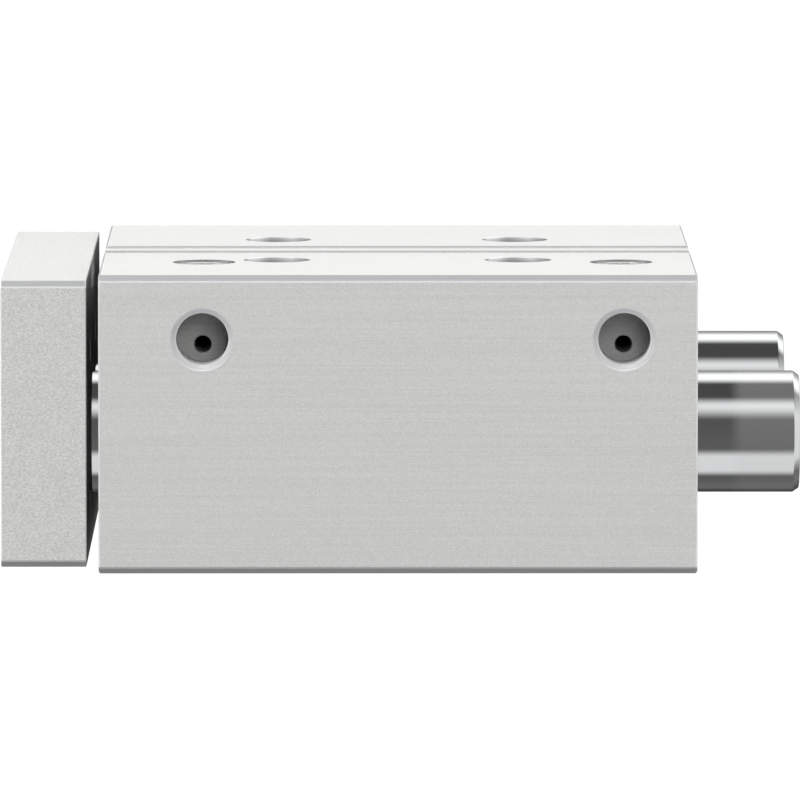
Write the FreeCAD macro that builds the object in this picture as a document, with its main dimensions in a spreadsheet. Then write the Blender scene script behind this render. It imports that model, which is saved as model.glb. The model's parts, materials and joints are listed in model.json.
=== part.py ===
import FreeCAD, Part
import os
import re

import Sketcher

# Guided pneumatic cylinder, 32 mm bore and 50 mm stroke, drawn retracted.
# The origin is the centre of the housing's underside. The rods slide along X, with the yoke
# plate at the front, -X. The supply ports are on the -Y side and Z is up. Sizes are in mm.

SIZES = {
    # housing block
    "body_length": 98,
    "body_width": 110,
    "body_height": 49,
    "edge_chamfer": 1,
    "end_break": 0.25,
    "axis_height": 22,
    "guide_pitch": 78,
    # cylinder bore with its two cap seats
    "bore_dia": 32,
    "cap_seat_dia": 34,
    "front_seat_depth": 13.6,
    "rear_seat_depth": 9.4,
    "ring_setback": 1.5,
    "ring_groove_dia": 35.7,
    "ring_groove_width": 1.6,
    "mouth_chamfer": 0.5,
    # guide bores
    "guide_bore_dia": 21,
    "bush_outer_dia": 24,
    "bush_length": 20,
    "wiper_seat_dia": 28,
    "wiper_seat_depth": 3.5,
    # four mounting holes, screwed from above or from below
    "mount_pitch_x": 40,
    "mount_pitch_y": 44,
    "screw_hole_dia": 6.8,
    "counterbore_dia": 11,
    "counterbore_depth": 6.5,
    # supply ports and air passages
    "port_setback_front": 17,
    "port_setback_rear": 12,
    "port_drop": 10.5,
    "port_dia": 8.57,
    "port_mouth_dia": 10.4,
    "port_mouth_depth": 0.53,
    "port_depth": 9,
    "top_port_inset": 28,
    "air_hole_dia": 2.8,
    "air_hole_drop": 12,
    "air_hole_length": 42,
    # sensor slots
    "slot_pitch": 10,
    "slot_opening": 5,
    "slot_lip": 1.5,
    "slot_inner_width": 6.6,
    "slot_depth": 5.4,
    # fits, as radial clearances
    "static_gap": 0.01,
    "running_gap": 0.03,
    # squeezed O-rings, as shares of their groove's width
    "o_ring_bulge": 0.9,
    "o_ring_flat": 0.5,
    # lips of the seals and wipers
    "lip_edge": 0.5,
    "lip_lift": 0.9,
    "lip_notch": 1.4,
    "wiper_sink": 0.3,
    # bearing cap and end cap
    "front_nose_length": 5,
    "rear_nose_length": 4.4,
    "nose_dia": 27,
    "cap_o_ring_width": 2.2,
    "cap_o_ring_section": 1.6,
    "cap_o_ring_land": 2,
    "cap_rod_hole_dia": 16.8,
    "cap_recess_dia": 22,
    "cap_recess_depth": 1.2,
    "small_chamfer": 0.4,
    "rod_seal_dia": 24,
    "rod_seal_width": 4.5,
    "rod_seal_setback": 1.5,
    "rod_bush_dia": 18,
    "rod_bush_length": 8.4,
    # stroke bumpers
    "bumper_inner_dia": 20.8,
    "bumper_outer_dia": 25.2,
    "bumper_seat_depth": 1,
    "bumper_height": 1.6,
    # retaining rings
    "ring_thickness": 1.5,
    "ring_inner_dia": 29.4,
    "ring_inner_shift": 0.6,
    "ring_gap": 3.8,
    "lug_dia": 5.4,
    "lug_spread": 9.2,
    "lug_height": 14.2,
    "lug_eye_dia": 2.5,
    # yoke plate
    "plate_thickness": 14,
    "plate_inset": 1,
    "plate_gap": 2,
    "plate_counterbore_dia": 14,
    "plate_counterbore_depth": 8.5,
    "plate_screw_hole_dia": 9,
    "load_pitch_y": 40,
    "load_pitch_z": 26,
    "load_hole_dia": 5,
    "load_recess_dia": 9,
    "load_recess_depth": 2.1,
    # rods
    "guide_rod_dia": 20,
    "guide_rod_overhang": 17,
    "guide_rod_front_chamfer": 0.6,
    "guide_rod_rear_chamfer": 0.7,
    "guide_rod_rear_chamfer_length": 1,
    "piston_rod_dia": 16,
    "piston_rod_chamfer": 0.4,
    "rod_thread_depth": 20,
    "drill_tip": 2,
    # piston
    "stroke": 50,
    "end_clearance": 0.1,
    "piston_dia": 31.6,
    "piston_disc_length": 4.4,
    "piston_magnet_length": 3.8,
    "piston_magnet_seat_dia": 23.2,
    "piston_magnet_dia": 28.4,
    "piston_land": 0.9,
    "piston_seal_width": 2.6,
    "piston_seal_seat_dia": 25,
    "spigot_dia": 10,
    "spigot_length": 5.8,
    "spigot_clearance": 0.2,
    "spigot_thread_depth": 14,
    "spigot_o_ring_land": 1.4,
    "spigot_o_ring_width": 1.6,
    "spigot_o_ring_section": 1.1,
    "piston_screw_hole_dia": 6.4,
    "piston_screw_recess_dia": 10.8,
    "piston_screw_recess_depth": 4.4,
    # socket screws
    "rod_screw_dia": 8,
    "rod_screw_length": 20,
    "rod_screw_head_dia": 13,
    "rod_screw_head_height": 8,
    "rod_screw_socket": 6,
    "rod_screw_socket_depth": 4,
    "piston_screw_dia": 6,
    "piston_screw_length": 12,
    "piston_screw_head_dia": 10,
    "piston_screw_head_height": 4,
    "piston_screw_socket": 4,
    "piston_screw_socket_depth": 2.5,
    # screwed plugs of the top ports
    "plug_length": 7,
    "plug_sink": 0.2,
    "plug_socket": 5,
    "plug_socket_depth": 3.5,
}

# Places along X that several pieces share.
front_face = "(-body_length / 2)"
rear_face = "(body_length / 2)"
front_cap_face = "(ring_setback + ring_groove_width - body_length / 2)"
rear_cap_face = "(body_length / 2 - ring_setback - ring_groove_width)"
front_shoulder = "(front_seat_depth - body_length / 2)"
rear_shoulder = "(body_length / 2 - rear_seat_depth)"
front_nose = f"({front_shoulder} + front_nose_length)"
rear_nose = f"({rear_shoulder} - rear_nose_length)"
piston_front = f"({front_nose} + bumper_height + stroke + end_clearance)"
piston_rear = f"({rear_nose} - bumper_height - end_clearance)"
plate_back = "(-body_length / 2 - plate_gap)"
plate_front = "(-body_length / 2 - plate_gap - plate_thickness)"
screw_bearing = f"({plate_front} + plate_counterbore_depth)"

# A hexagon's corners, as shares of half the width across its flats.
hexagon = ((0, 1.1547), (-1, 0.57735), (-1, -0.57735), (0, -1.1547), (1, -0.57735), (1, 0.57735))

tolerance = 0.01

doc = FreeCAD.newDocument("guided_cylinder")
sheet = doc.addObject("Spreadsheet::Sheet", "Sizes")
for row, (alias, number) in enumerate(SIZES.items(), 1):
    sheet.set(f"A{row}", alias)
    sheet.set(f"B{row}", str(number))
    sheet.setAlias(f"B{row}", alias)
doc.recompute()

nodes = []


def in_sheet(expression):
    return re.sub(r"[a-z]\w*", r"Sizes.\g<0>", str(expression))


def value(expression):
    return float(sheet.evalExpression(in_sheet(expression)))


def bind(thing, name, expression):
    thing.setExpression(name, in_sheet(expression))


def new_body(label, x="0", y="0", z="0"):
    body = doc.addObject("PartDesign::Body", label)
    for axis, expression in zip("xyz", (x, y, z)):
        bind(body, f"Placement.Base.{axis}", expression)
    nodes.append(body)
    return body


def new_sketch(body, plane, origin=("0", "0", "0")):
    # The sketch lies on one of the body's own planes, with its origin moved in the sketch's axes.
    sketch = body.newObject("Sketcher::SketchObject", f"{body.Name}_sketch")
    support = next(item for item in body.Origin.OriginFeatures if item.Role == plane)
    sketch.AttachmentSupport = [(support, "")]
    sketch.MapMode = "FlatFace"
    for axis, expression in zip("xyz", origin):
        bind(sketch, f"AttachmentOffset.Base.{axis}", expression)
    return sketch


def hold(sketch, kind, place, expression):
    index = sketch.addConstraint(Sketcher.Constraint(kind, *place, value(expression)))
    bind(sketch, f"Constraints[{index}]", expression)


def draw_outline(sketch, points):
    corners = [FreeCAD.Vector(value(x), value(y), 0) for x, y in points]
    count = len(corners)
    for index, corner in enumerate(corners):
        sketch.addGeometry(Part.LineSegment(corner, corners[(index + 1) % count]), False)
    for index in range(count):
        sketch.addConstraint(Sketcher.Constraint("Coincident", index, 2, (index + 1) % count, 1))
    for index, (x, y) in enumerate(points):
        hold(sketch, "DistanceX", (-1, 1, index, 1), x)
        hold(sketch, "DistanceY", (-1, 1, index, 1), y)


def draw_circle(sketch, x, y, diameter):
    centre = FreeCAD.Vector(value(x), value(y), 0)
    index = sketch.addGeometry(Part.Circle(centre, FreeCAD.Vector(0, 0, 1), value(diameter) / 2), False)
    hold(sketch, "DistanceX", (-1, 1, index, 3), x)
    hold(sketch, "DistanceY", (-1, 1, index, 3), y)
    hold(sketch, "Diameter", (index,), diameter)


def feature(body, kind, sketch):
    made = body.newObject(f"PartDesign::{kind}", f"{body.Name}_{kind.lower()}")
    made.Profile = sketch
    return made


def pad(body, sketch, length):
    bind(feature(body, "Pad", sketch), "Length", length)


def pocket(body, sketch, length, reverse=False):
    made = feature(body, "Pocket", sketch)
    made.Reversed = reverse
    bind(made, "Length", length)


def turn(body, points, kind="Revolution", plane="XZ_Plane", origin=("0", "0", "0"), axis="H_Axis"):
    # A turned solid, or with kind Groove a turned cut, from a profile of points in the sketch.
    sketch = new_sketch(body, plane, origin)
    draw_outline(sketch, points)
    made = feature(body, kind, sketch)
    made.ReferenceAxis = (sketch, [axis])
    made.Angle = 360


def turned_piece(label, points, y="0"):
    # A piece turned about an axis along X at the height of the rods, with points of (x, radius).
    body = new_body(label, y=y, z="axis_height")
    turn(body, points)
    return body


def ring_profile(start, end, inner, outer):
    return [(start, inner), (start, outer), (end, outer), (end, inner)]


def o_ring(label, middle, groove_bottom, section, groove_width):
    # A squeezed ring, flat where it seals and bulging to most of its groove's width between.
    inner, outer = f"{groove_bottom} + static_gap", f"{groove_bottom} + {section} - 2 * static_gap"
    waist = f"{groove_bottom} + {section} / 2"
    bulge, flat = f"o_ring_bulge * {groove_width} / 2", f"o_ring_flat * {groove_width} / 2"
    turned_piece(label, [
        (f"{middle} - {bulge}", waist),
        (f"{middle} - {flat}", outer),
        (f"{middle} + {flat}", outer),
        (f"{middle} + {bulge}", waist),
        (f"{middle} + {flat}", inner),
        (f"{middle} - {flat}", inner),
    ])


def guide_sides():
    yield "near", "(-guide_pitch / 2)"
    yield "far", "(guide_pitch / 2)"


# Housing.

def housing_outline():
    half, top, cut = "body_width / 2", "body_height", "edge_chamfer"
    points = [
        (f"{cut} - {half}", "0"),
        (f"{half} - {cut}", "0"),
        (half, cut),
        (half, f"{top} - {cut}"),
        (f"{half} - {cut}", top),
    ]
    for centre in ("slot_pitch / 2", "-slot_pitch / 2"):
        right, left = f"{centre} + slot_opening / 2", f"{centre} - slot_opening / 2"
        wide_right, wide_left = f"{centre} + slot_inner_width / 2", f"{centre} - slot_inner_width / 2"
        lip, floor = f"{top} - slot_lip", f"{top} - slot_depth"
        points += [(right, top), (right, lip), (wide_right, lip), (wide_right, floor)]
        points += [(wide_left, floor), (wide_left, lip), (left, lip), (left, top)]
    points += [(f"{cut} - {half}", top), (f"-{half}", f"{top} - {cut}"), (f"-{half}", cut)]
    return points


def cylinder_bore_profile():
    seat, groove, bore = "cap_seat_dia / 2", "ring_groove_dia / 2", "bore_dia / 2"
    front = [
        (front_face, "0"),
        (front_face, f"{seat} + mouth_chamfer"),
        (f"{front_face} + mouth_chamfer", seat),
        (f"{front_face} + ring_setback", seat),
        (f"{front_face} + ring_setback", groove),
        (front_cap_face, groove),
        (front_cap_face, seat),
        (front_shoulder, seat),
        (front_shoulder, bore),
    ]
    rear = [
        (rear_shoulder, bore),
        (rear_shoulder, seat),
        (rear_cap_face, seat),
        (rear_cap_face, groove),
        (f"{rear_face} - ring_setback", groove),
        (f"{rear_face} - ring_setback", seat),
        (f"{rear_face} - mouth_chamfer", seat),
        (rear_face, f"{seat} + mouth_chamfer"),
        (rear_face, "0"),
    ]
    return front + rear


def guide_bore_profile():
    wiper, bush, bore = "wiper_seat_dia / 2", "bush_outer_dia / 2", "guide_bore_dia / 2"
    inwards = [
        ("0", "0"),
        ("0", f"{wiper} + mouth_chamfer"),
        ("mouth_chamfer", wiper),
        ("wiper_seat_depth", wiper),
        ("wiper_seat_depth", bush),
        ("wiper_seat_depth + bush_length", bush),
        ("wiper_seat_depth + bush_length", bore),
    ]
    front = [(f"{front_face} + {depth}", radius) for depth, radius in inwards]
    rear = [(f"{rear_face} - ({depth})", radius) for depth, radius in reversed(inwards)]
    return front + rear


def mounting_hole_profile():
    # Counterbore at the top, then a hole that takes a screw from above or a thread from below.
    head, shank = "counterbore_dia / 2", "screw_hole_dia / 2"
    return [
        ("0", "0"),
        (f"{shank} + mouth_chamfer", "0"),
        (shank, "mouth_chamfer"),
        (shank, "body_height - counterbore_depth"),
        (head, "body_height - counterbore_depth"),
        (head, "body_height"),
        ("0", "body_height"),
    ]


def port_profile():
    # Depth into the block, then radius: the mouth, the thread core and its flat floor.
    return [
        ("0", "0"),
        ("0", "port_mouth_dia / 2"),
        ("port_mouth_depth", "port_dia / 2"),
        ("port_depth", "port_dia / 2"),
        ("port_depth", "0"),
    ]


def break_end_edges(body):
    # A fine edge break along the outline of both end faces, apart from the slots.
    doc.recompute()
    block = body.Tip
    end, top = value(rear_face), value("body_height")
    slots_reach = value("(slot_pitch + slot_inner_width) / 2 + slot_lip")
    chosen = []
    for number, edge in enumerate(block.Shape.Edges, 1):
        box = edge.BoundBox
        at_end = abs(box.XMin) > end - tolerance and box.XLength < tolerance
        in_slot = abs(box.Center.y) < slots_reach and 2 * box.Center.z > top and box.ZMin < top - tolerance
        if at_end and not in_slot:
            chosen.append(f"Edge{number}")
    chamfer = body.newObject("PartDesign::Chamfer", "housing_end_break")
    chamfer.Base = (block, chosen)
    bind(chamfer, "Size", "end_break")


def make_housing():
    body = new_body("housing")
    outline = new_sketch(body, "YZ_Plane", ("0", "0", front_face))
    draw_outline(outline, housing_outline())
    pad(body, outline, "body_length")
    break_end_edges(body)
    turn(body, cylinder_bore_profile(), "Groove", origin=("0", "axis_height", "0"))
    for side, y in guide_sides():
        turn(body, guide_bore_profile(), "Groove", origin=("0", "axis_height", f"-{y}"))
    for x in ("mount_pitch_x / 2", "-mount_pitch_x / 2"):
        for y in ("mount_pitch_y / 2", "-mount_pitch_y / 2"):
            turn(body, mounting_hole_profile(), "Groove", origin=(x, "0", y), axis="V_Axis")
    for x in (f"{front_face} + port_setback_front", f"{rear_face} - port_setback_rear"):
        make_air_way(body, x)
    return body


def make_air_way(body, x):
    # One side port, the top port above it, and the passages that join both to the bore.
    side_origin = ("-body_width / 2", "body_height - port_drop", x)
    turn(body, port_profile(), "Groove", "YZ_Plane", side_origin)
    top_origin = ("top_port_inset - body_width / 2", "body_height", x)
    downwards = [(radius, f"-({depth})") for depth, radius in port_profile()]
    turn(body, downwards, "Groove", "YZ_Plane", top_origin, "V_Axis")
    passage = new_sketch(body, "XZ_Plane", ("0", "0", "body_width / 2 - port_depth"))
    draw_circle(passage, x, "body_height - air_hole_drop", "air_hole_dia")
    pocket(body, passage, "air_hole_length")
    riser = new_sketch(body, "XY_Plane", ("0", "0", "body_height - port_depth"))
    draw_circle(riser, x, "top_port_inset - body_width / 2", "air_hole_dia")
    pocket(body, riser, "air_hole_drop - port_depth")


# Caps at the two ends of the cylinder bore.

def o_ring_groove(shoulder, towards):
    # The groove's two corners in the rim of a cap, from the shoulder that the cap rests on.
    land, width = "cap_o_ring_land", "cap_o_ring_width"
    rim, bottom = "cap_seat_dia / 2 - static_gap", "cap_seat_dia / 2 - cap_o_ring_section"
    near, far = f"{shoulder} {towards} {land}", f"{shoulder} {towards} ({land} + {width})"
    return [(near, rim), (near, bottom), (far, bottom), (far, rim)]


def o_ring_place(shoulder, towards):
    return f"{shoulder} {towards} (cap_o_ring_land + cap_o_ring_width / 2)"


def make_bearing_cap():
    rim = "cap_seat_dia / 2 - static_gap"
    seal_front = f"{front_cap_face} + rod_seal_setback"
    turned_piece("bearing_cap", [
        (front_cap_face, "cap_rod_hole_dia / 2"),
        (front_cap_face, rim),
        *reversed(o_ring_groove(front_shoulder, "-")),
        (front_shoulder, rim),
        (front_shoulder, "nose_dia / 2"),
        (f"{front_nose} - bumper_seat_depth", "nose_dia / 2"),
        (f"{front_nose} - bumper_seat_depth", "bumper_inner_dia / 2"),
        (front_nose, "bumper_inner_dia / 2"),
        (front_nose, "rod_bush_dia / 2"),
        (f"{front_nose} - rod_bush_length", "rod_bush_dia / 2"),
        (f"{front_nose} - rod_bush_length", "cap_rod_hole_dia / 2"),
        (f"{seal_front} + rod_seal_width", "cap_rod_hole_dia / 2"),
        (f"{seal_front} + rod_seal_width", "rod_seal_dia / 2"),
        (seal_front, "rod_seal_dia / 2"),
        (seal_front, "cap_rod_hole_dia / 2"),
    ])
    o_ring("bearing_cap_o_ring", o_ring_place(front_shoulder, "-"),
           "(cap_seat_dia / 2 - cap_o_ring_section)", "cap_o_ring_section", "cap_o_ring_width")


def make_end_cap():
    rim = "cap_seat_dia / 2 - static_gap"
    turned_piece("end_cap", [
        (rear_nose, "0"),
        (rear_nose, "bumper_inner_dia / 2"),
        (f"{rear_nose} + bumper_seat_depth", "bumper_inner_dia / 2"),
        (f"{rear_nose} + bumper_seat_depth", "nose_dia / 2"),
        (rear_shoulder, "nose_dia / 2"),
        (rear_shoulder, rim),
        *o_ring_groove(rear_shoulder, "+"),
        (rear_cap_face, rim),
        (rear_cap_face, "cap_recess_dia / 2"),
        (f"{rear_cap_face} - cap_recess_depth", "cap_recess_dia / 2 - cap_recess_depth"),
        (f"{rear_cap_face} - cap_recess_depth", "0"),
    ])
    o_ring("end_cap_o_ring", o_ring_place(rear_shoulder, "+"),
           "(cap_seat_dia / 2 - cap_o_ring_section)", "cap_o_ring_section", "cap_o_ring_width")


def make_rod_bush_and_seal():
    shaft = "piston_rod_dia / 2 + running_gap"
    turned_piece("rod_bush", ring_profile(
        f"{front_nose} - rod_bush_length", front_nose, shaft, "rod_bush_dia / 2 - static_gap"))
    # A dirt lip at the front and a pressure lip with its notch at the rear.
    front = f"({front_cap_face} + rod_seal_setback)"
    rear = f"({front} + rod_seal_width)"
    outer, waist = "(rod_seal_dia / 2 - static_gap)", "(piston_rod_dia / 2 + lip_lift)"
    turned_piece("rod_seal", [
        (front, shaft),
        (front, outer),
        (rear, outer),
        (f"{rear} - lip_notch", f"({outer} + {waist}) / 2"),
        (rear, f"{shaft} + lip_edge"),
        (rear, shaft),
        (f"({front} + {rear}) / 2", waist),
    ])


def make_bumper(label, seat, face):
    start, end = sorted((seat, face), key=value)
    outer = "bumper_outer_dia / 2 - static_gap"
    turned_piece(label, ring_profile(start, end, "bumper_inner_dia / 2 + static_gap", outer))


def make_retaining_ring(label, start):
    # A flat spring ring, wider opposite its gap, with an eye for pliers in each lug.
    body = new_body(label, start, "0", "axis_height")
    band = new_sketch(body, "YZ_Plane")
    draw_circle(band, "0", "0", "ring_groove_dia - 2 * static_gap")
    draw_circle(band, "0", "ring_inner_shift", "ring_inner_dia")
    pad(body, band, "ring_thickness")
    gap = new_sketch(body, "YZ_Plane")
    inside, outside = "lug_height - lug_dia / 2", "lug_height + lug_dia"
    draw_outline(gap, [
        ("-ring_gap / 2", inside), ("ring_gap / 2", inside),
        ("ring_gap / 2", outside), ("-ring_gap / 2", outside),
    ])
    pocket(body, gap, "ring_thickness", True)
    lugs = new_sketch(body, "YZ_Plane")
    eyes = new_sketch(body, "YZ_Plane")
    for y in ("lug_spread / 2", "-lug_spread / 2"):
        draw_circle(lugs, y, "lug_height", "lug_dia")
        draw_circle(eyes, y, "lug_height", "lug_eye_dia")
    pad(body, lugs, "ring_thickness")
    pocket(body, eyes, "ring_thickness", True)


# Guides.

def make_guides():
    shaft = "guide_rod_dia / 2 + running_gap"
    for side, y in guide_sides():
        front_seat = f"({front_face} + wiper_seat_depth)"
        rear_seat = f"({rear_face} - wiper_seat_depth)"
        bush = "bush_outer_dia / 2 - static_gap"
        turned_piece(f"guide_bush_front_{side}",
                     ring_profile(front_seat, f"({front_seat} + bush_length)", shaft, bush), y)
        turned_piece(f"guide_bush_rear_{side}",
                     ring_profile(f"({rear_seat} - bush_length)", rear_seat, shaft, bush), y)
        turned_piece(f"guide_wiper_front_{side}", wiper_profile(front_seat, "-"), y)
        turned_piece(f"guide_wiper_rear_{side}", wiper_profile(rear_seat, "+"), y)


def wiper_profile(seat, outwards):
    # A rubber ring on its seat, with a scraping lip that leans outwards onto the rod.
    shaft, rim = "(guide_rod_dia / 2 + running_gap)", "(wiper_seat_dia / 2 - static_gap)"
    face = "(wiper_seat_depth - wiper_sink)"
    steps = [
        ("0", f"{shaft} + lip_lift"),
        ("0", rim),
        (face, rim),
        (f"{face} - lip_notch", f"({shaft} + {rim}) / 2"),
        (face, f"{shaft} + lip_edge"),
        (face, shaft),
    ]
    return [(f"{seat} {outwards} ({depth})", radius) for depth, radius in steps]


def guide_rod_profile():
    rod, core = "guide_rod_dia / 2", "rod_screw_dia / 2"
    end = f"({rear_face} + guide_rod_overhang)"
    return [
        (plate_back, core),
        (plate_back, f"{rod} - guide_rod_front_chamfer"),
        (f"{plate_back} + guide_rod_front_chamfer", rod),
        (f"{end} - guide_rod_rear_chamfer_length", rod),
        (end, f"{rod} - guide_rod_rear_chamfer"),
        (end, "0"),
        (f"{plate_back} + rod_thread_depth + drill_tip", "0"),
        (f"{plate_back} + rod_thread_depth", core),
    ]


# Piston rod and piston.

def make_piston_rod():
    rod, spigot, core = "piston_rod_dia / 2", "spigot_dia / 2", "rod_screw_dia / 2"
    end, rear_core = f"({piston_front} + spigot_length)", "piston_screw_dia / 2"
    groove = f"({piston_front} + spigot_o_ring_land)"
    bottom = "spigot_dia / 2 - spigot_o_ring_section"
    turned_piece("piston_rod", [
        (plate_back, core),
        (plate_back, f"{rod} - piston_rod_chamfer"),
        (f"{plate_back} + piston_rod_chamfer", rod),
        (piston_front, rod),
        (piston_front, spigot),
        (groove, spigot),
        (groove, bottom),
        (f"{groove} + spigot_o_ring_width", bottom),
        (f"{groove} + spigot_o_ring_width", spigot),
        (end, spigot),
        (end, rear_core),
        (f"{end} - spigot_thread_depth", rear_core),
        (f"{end} - spigot_thread_depth - drill_tip", "0"),
        (f"{plate_back} + rod_thread_depth + drill_tip", "0"),
        (f"{plate_back} + rod_thread_depth", core),
    ])
    o_ring("piston_o_ring", f"{groove} + spigot_o_ring_width / 2", f"({bottom})",
           "spigot_o_ring_section", "spigot_o_ring_width")


def seal_seat(start):
    rim, root = "piston_dia / 2", "piston_seal_seat_dia / 2"
    end = f"{start} + piston_seal_width"
    return [(start, rim), (start, root), (end, root), (end, rim)]


piston_split = f"({piston_front} + piston_disc_length)"
front_seal = f"({piston_front} + piston_land)"
rear_seal = f"({piston_rear} - piston_land - piston_seal_width)"


def make_piston_halves():
    rim, hub = "piston_dia / 2", "spigot_dia / 2 + static_gap"
    turned_piece("piston_front_half", [
        (piston_front, hub),
        (piston_front, rim),
        *seal_seat(front_seal),
        (piston_split, rim),
        (piston_split, hub),
    ])
    magnet_end = f"{piston_split} + piston_magnet_length"
    hub_floor = f"{piston_front} + spigot_length + spigot_clearance"
    recess_floor = f"{piston_rear} - piston_screw_recess_depth"
    turned_piece("piston_rear_half", [
        (piston_split, hub),
        (piston_split, "piston_magnet_seat_dia / 2"),
        (magnet_end, "piston_magnet_seat_dia / 2"),
        (magnet_end, rim),
        *seal_seat(rear_seal),
        (piston_rear, rim),
        (piston_rear, "piston_screw_recess_dia / 2"),
        (recess_floor, "piston_screw_recess_dia / 2"),
        (recess_floor, "piston_screw_hole_dia / 2"),
        (hub_floor, "piston_screw_hole_dia / 2"),
        (hub_floor, hub),
    ])
    bore = "bore_dia / 2 - running_gap"
    turned_piece("piston_magnet", ring_profile(
        piston_split, f"({magnet_end})", "piston_magnet_seat_dia / 2 + static_gap", "piston_magnet_dia / 2"))
    turned_piece("piston_guide_ring", ring_profile(
        piston_split, f"({magnet_end})", "piston_magnet_dia / 2 + static_gap", bore))


def make_piston_seal(label, heel, mouth):
    # A lip ring with its heel at one side of the seat and its notched mouth at the other.
    towards = "+" if value(mouth) > value(heel) else "-"
    root, bore = "(piston_seal_seat_dia / 2 + static_gap)", "(bore_dia / 2 - running_gap)"
    steps = [
        ("0", root),
        ("0", f"{bore} - lip_edge"),
        ("piston_seal_width", bore),
        ("piston_seal_width - lip_notch", f"({root} + {bore}) / 2"),
        ("piston_seal_width", f"{root} + lip_lift"),
        ("piston_seal_width", root),
    ]
    turned_piece(label, [(f"{heel} {towards} ({depth})", radius) for depth, radius in steps])


# Yoke plate.

def make_yoke_plate():
    body = new_body("yoke_plate")
    outline = new_sketch(body, "YZ_Plane", ("0", "0", plate_front))
    half, low, high = "(body_width / 2 - plate_inset)", "plate_inset", "(body_height - plate_inset)"
    cut = "edge_chamfer"
    draw_outline(outline, [
        (f"{cut} - {half}", low), (f"{half} - {cut}", low),
        (half, f"{low} + {cut}"), (half, f"{high} - {cut}"),
        (f"{half} - {cut}", high), (f"{cut} - {half}", high),
        (f"-{half}", f"{high} - {cut}"), (f"-{half}", f"{low} + {cut}"),
    ])
    pad(body, outline, "plate_thickness")
    head, shank = "plate_counterbore_dia / 2", "plate_screw_hole_dia / 2"
    screw_hole = [
        ("0", "0"),
        ("0", head),
        ("plate_counterbore_depth", head),
        ("plate_counterbore_depth", shank),
        ("plate_thickness", shank),
        ("plate_thickness", "0"),
    ]
    for y in ("0", *(place for side, place in guide_sides())):
        turn(body, screw_hole, "Groove", origin=(plate_front, "axis_height", f"-{y}"))
    recess, thread = "load_recess_dia / 2", "load_hole_dia / 2"
    load_hole = [
        ("0", "0"),
        ("0", recess),
        ("load_recess_depth", recess),
        ("load_recess_depth", thread),
        ("plate_thickness", thread),
        ("plate_thickness", "0"),
    ]
    for y in ("load_pitch_y / 2", "-load_pitch_y / 2"):
        for z in ("load_pitch_z / 2", "-load_pitch_z / 2"):
            turn(body, load_hole, "Groove", origin=(plate_front, f"axis_height + {z}", y))


# Fasteners.

def make_socket_screw(label, kind, x, y="0", turned_round=False):
    # The head's bearing face is at x, with the shank along +X, or along -X when turned round.
    body = new_body(label, x, y, "axis_height")
    if turned_round:
        body.Placement.Rotation = FreeCAD.Rotation(FreeCAD.Vector(0, 0, 1), 180)
    head, height = f"{kind}_head_dia / 2", f"{kind}_head_height"
    shank, length = f"{kind}_dia / 2 - static_gap", f"{kind}_length"
    turn(body, [
        (f"-{height}", "0"),
        (f"-{height}", f"{head} - small_chamfer"),
        (f"small_chamfer - {height}", head),
        ("0", head),
        ("0", shank),
        (length, shank),
        (length, "0"),
    ])
    socket = new_sketch(body, "YZ_Plane", ("0", "0", f"-{height}"))
    draw_outline(socket, [(f"{a} * {kind}_socket / 2", f"{b} * {kind}_socket / 2") for a, b in hexagon])
    pocket(body, socket, f"{kind}_socket_depth", True)


def make_port_plug(label, x):
    # A headless plug with a hexagon socket, its corners along the block.
    body = new_body(label, x, "top_port_inset - body_width / 2", "body_height - plug_sink")
    rim = "port_dia / 2 - static_gap"
    turn(body, [
        ("0", "0"),
        (f"{rim} - small_chamfer", "0"),
        (rim, "-small_chamfer"),
        (rim, "-plug_length"),
        ("0", "-plug_length"),
    ], axis="V_Axis")
    socket = new_sketch(body, "XY_Plane")
    draw_outline(socket, [(f"{b} * plug_socket / 2", f"{a} * plug_socket / 2") for a, b in hexagon])
    pocket(body, socket, "plug_socket_depth")


def check_document():
    doc.recompute()
    for item in doc.Objects:
        assert "Invalid" not in item.State and "Error" not in item.State, f"{item.Label} failed"
        if item.TypeId in ("PartDesign::Pocket", "PartDesign::Groove"):
            removed = item.BaseFeature.Shape.Volume - item.Shape.Volume
            assert removed > tolerance, f"{item.Label} cuts nothing"
    for node in nodes:
        assert not node.Shape.isNull() and node.Shape.isValid(), f"{node.Label} has no valid shape"
        assert len(node.Shape.Solids) == 1, f"{node.Label} is not one solid"


def write_steps():
    os.makedirs("parts", exist_ok=True)
    for node in nodes:
        node.Shape.exportStep(f"parts/{node.Label}.step")
    print(f"{len(nodes)} pieces written")


make_housing()
make_bearing_cap()
make_rod_bush_and_seal()
make_bumper("front_bumper", f"({front_nose} - bumper_seat_depth)", f"({front_nose} + bumper_height)")
make_retaining_ring("front_retaining_ring", f"{front_cap_face} - ring_thickness")
make_end_cap()
make_bumper("rear_bumper", f"({rear_nose} + bumper_seat_depth)", f"({rear_nose} - bumper_height)")
make_retaining_ring("rear_retaining_ring", rear_cap_face)
make_guides()
make_port_plug("port_plug_front", f"{front_face} + port_setback_front")
make_port_plug("port_plug_rear", f"{rear_face} - port_setback_rear")
make_yoke_plate()
for side, y in guide_sides():
    turned_piece(f"guide_rod_{side}", guide_rod_profile(), y)
    make_socket_screw(f"guide_rod_screw_{side}", "rod_screw", screw_bearing, y)
make_piston_rod()
make_socket_screw("piston_rod_screw", "rod_screw", screw_bearing)
make_piston_halves()
make_piston_seal("piston_seal_front", f"({front_seal} + piston_seal_width)", front_seal)
make_piston_seal("piston_seal_rear", rear_seal, f"({rear_seal} + piston_seal_width)")
make_socket_screw("piston_screw", "piston_screw", f"{piston_rear} - piston_screw_recess_depth",
                  turned_round=True)
check_document()
write_steps()
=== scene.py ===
import json
import math

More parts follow.
